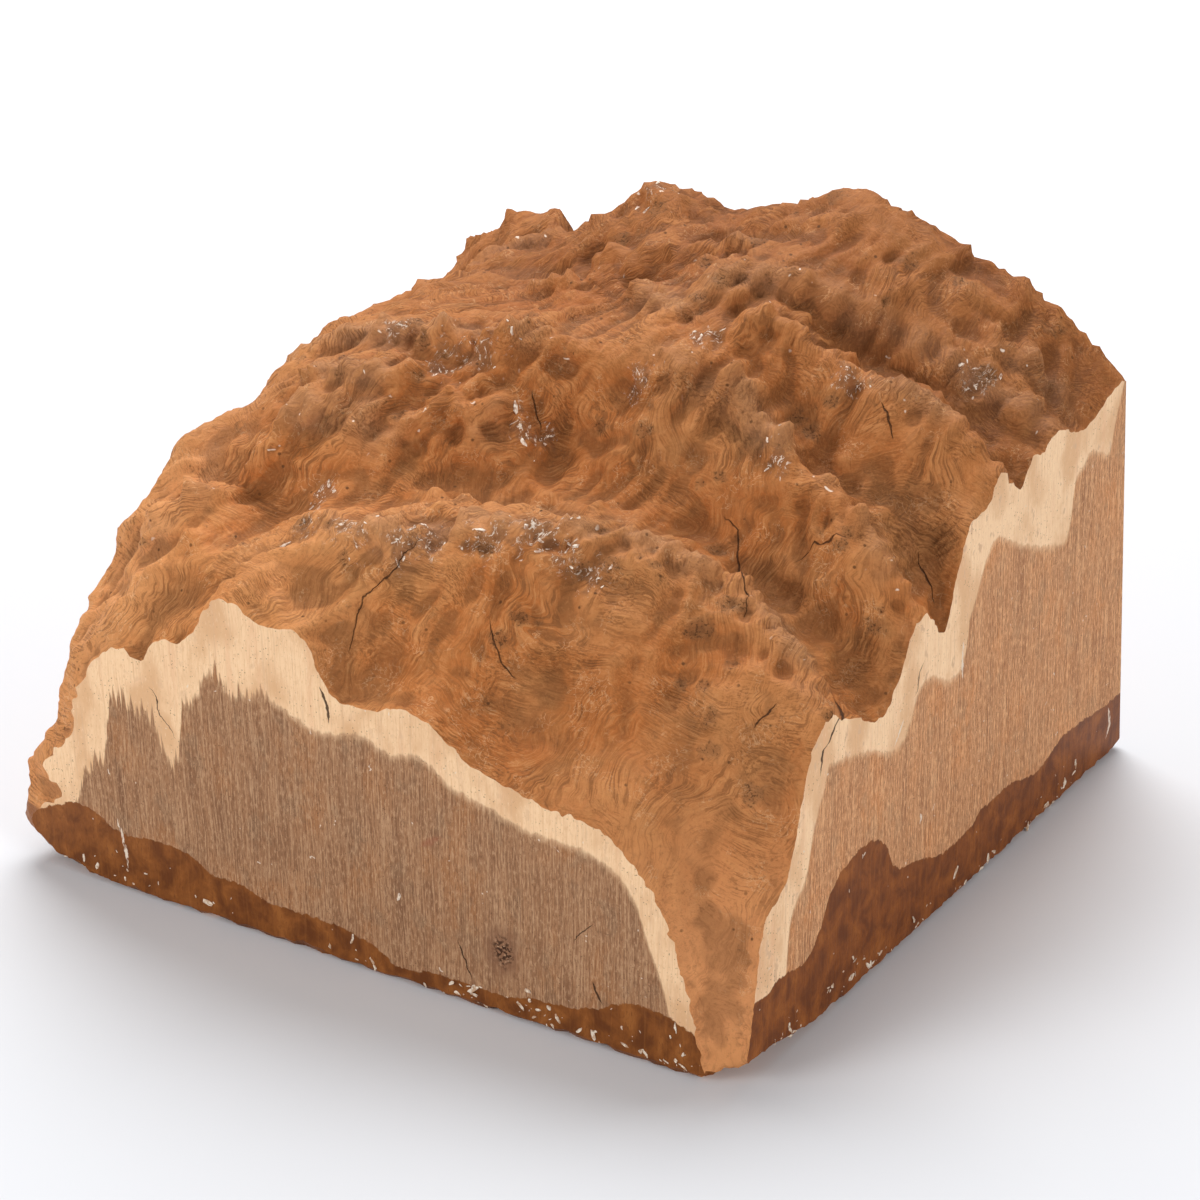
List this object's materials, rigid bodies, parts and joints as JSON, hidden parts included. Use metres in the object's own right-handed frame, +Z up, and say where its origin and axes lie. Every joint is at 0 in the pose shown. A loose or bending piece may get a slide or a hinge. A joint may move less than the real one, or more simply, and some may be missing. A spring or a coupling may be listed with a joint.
{
  "type": "burl turning blank",
  "caption": "Block of burl wood for turning, sawn flat on the front, right, back and base, with the natural knobbly skin left on its top, left flank and front corner.",
  "frame": {"origin": "middle of the base, on the floor", "axes": "+Z up, -Y out of the front sawn face, +X out of the right sawn face"},
  "size_m": [0.2384, 0.2216, 0.1649],
  "materials": {
    "burl_wood": "natural burl skin and rough-sawn faces, dipped in clear wax along the base"
  },
  "bodies": {
    "root": {"burl_blank": "burl_wood"}
  },
  "joints": []
}
